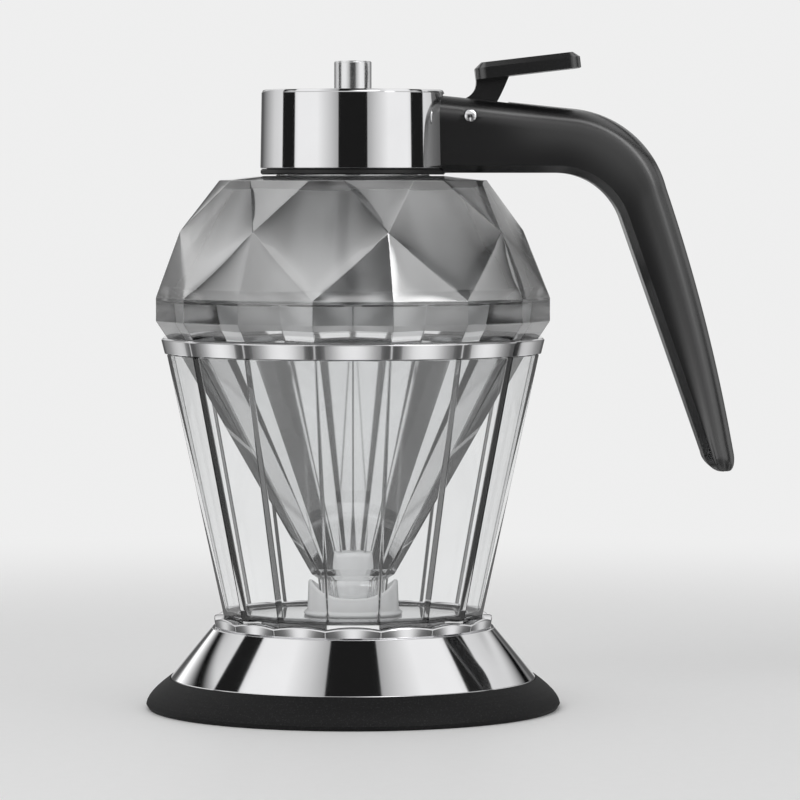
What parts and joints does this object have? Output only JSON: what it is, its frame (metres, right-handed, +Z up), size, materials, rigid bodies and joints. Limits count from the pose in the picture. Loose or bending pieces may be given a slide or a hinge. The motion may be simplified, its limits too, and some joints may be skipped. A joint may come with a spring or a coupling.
{
  "type": "syrup dispenser",
  "caption": "Faceted clear bottle with a thumb lever that lifts a bottom valve, a curved side handle, and a clear cup on a metal base that catches drips.",
  "frame": {"origin": "centre of the foot's flat underside, on the axis of the bottle", "axes": "+Z up along the axis of the bottle, +X towards the handle, +Y away from the viewer of the picture"},
  "size_m": [0.1347, 0.095, 0.15],
  "materials": {
    "foot_rubber": "matte with a fine grain",
    "screw_steel": "plain",
    "base_chrome": "polished",
    "collar_chrome": "polished",
    "cup_clear": "clear",
    "band_chrome": "polished",
    "drip_plastic": "translucent",
    "bottle_clear": "clear, cut facets",
    "gasket_silicone": "matte",
    "collar_plastic": "matte",
    "cap_chrome": "polished",
    "tower_chrome": "polished",
    "guide_plastic": "matte",
    "spring_steel": "drawn wire",
    "handle_plastic": "satin",
    "pin_steel": "bright",
    "lever_plastic": "satin",
    "rod_steel": "drawn",
    "stopper_silicone": "frosted"
  },
  "bodies": {
    "stand": {"foot": "foot_rubber", "base_screws": "screw_steel", "base_skirt": "base_chrome", "lobed_collar": "collar_chrome", "stand_cup": "cup_clear", "rim_band": "band_chrome", "drip_cup": "drip_plastic"},
    "bottle": {"bottle": "bottle_clear"},
    "seal": {"neck_gasket": "gasket_silicone"},
    "lid": {"threaded_collar": "collar_plastic", "cap_cover": "cap_chrome", "spring_tower": "tower_chrome", "rod_guide": "guide_plastic", "valve_spring": "spring_steel", "handle": "handle_plastic", "handle_screws": "screw_steel", "pivot_pin": "pin_steel"},
    "lever": {"lever": "lever_plastic"},
    "valve": {"valve_rod": "rod_steel", "stopper": "stopper_silicone"}
  },
  "joints": [
    {"name": "bottle_lift", "type": "slide", "parent": "stand", "child": "bottle", "axis": [0, 0, 1], "range_m": [0, 0.07]},
    {"name": "lid_rise", "type": "slide", "parent": "bottle", "child": "seal", "axis": [0, 0, 1], "range_m": [0, 0.0067]},
    {"name": "lid_turn", "type": "hinge", "parent": "seal", "child": "lid", "pos_m": [0, 0, 0.131], "axis": [0, 0, 1], "range_deg": [0, 600]},
    {"name": "lever_press", "type": "hinge", "parent": "lid", "child": "lever", "pos_m": [0.0267, 0, 0.13545], "axis": [0, 1, 0], "range_deg": [0, 8.5]},
    {"name": "valve_lift", "type": "slide", "parent": "lid", "child": "valve", "axis": [0, 0, 1], "range_m": [0, 0.00396], "stiffness_N_per_m": 200, "springref_m": -0.004, "deforming": ["valve_spring"]}
  ],
  "couplings": [
    {"joint": "lid_rise", "follows": "lid_turn", "m_per_rad": 0.00063662},
    {"joint": "lever_press", "follows": "valve_lift", "rad_per_m": 37.453}
  ]
}
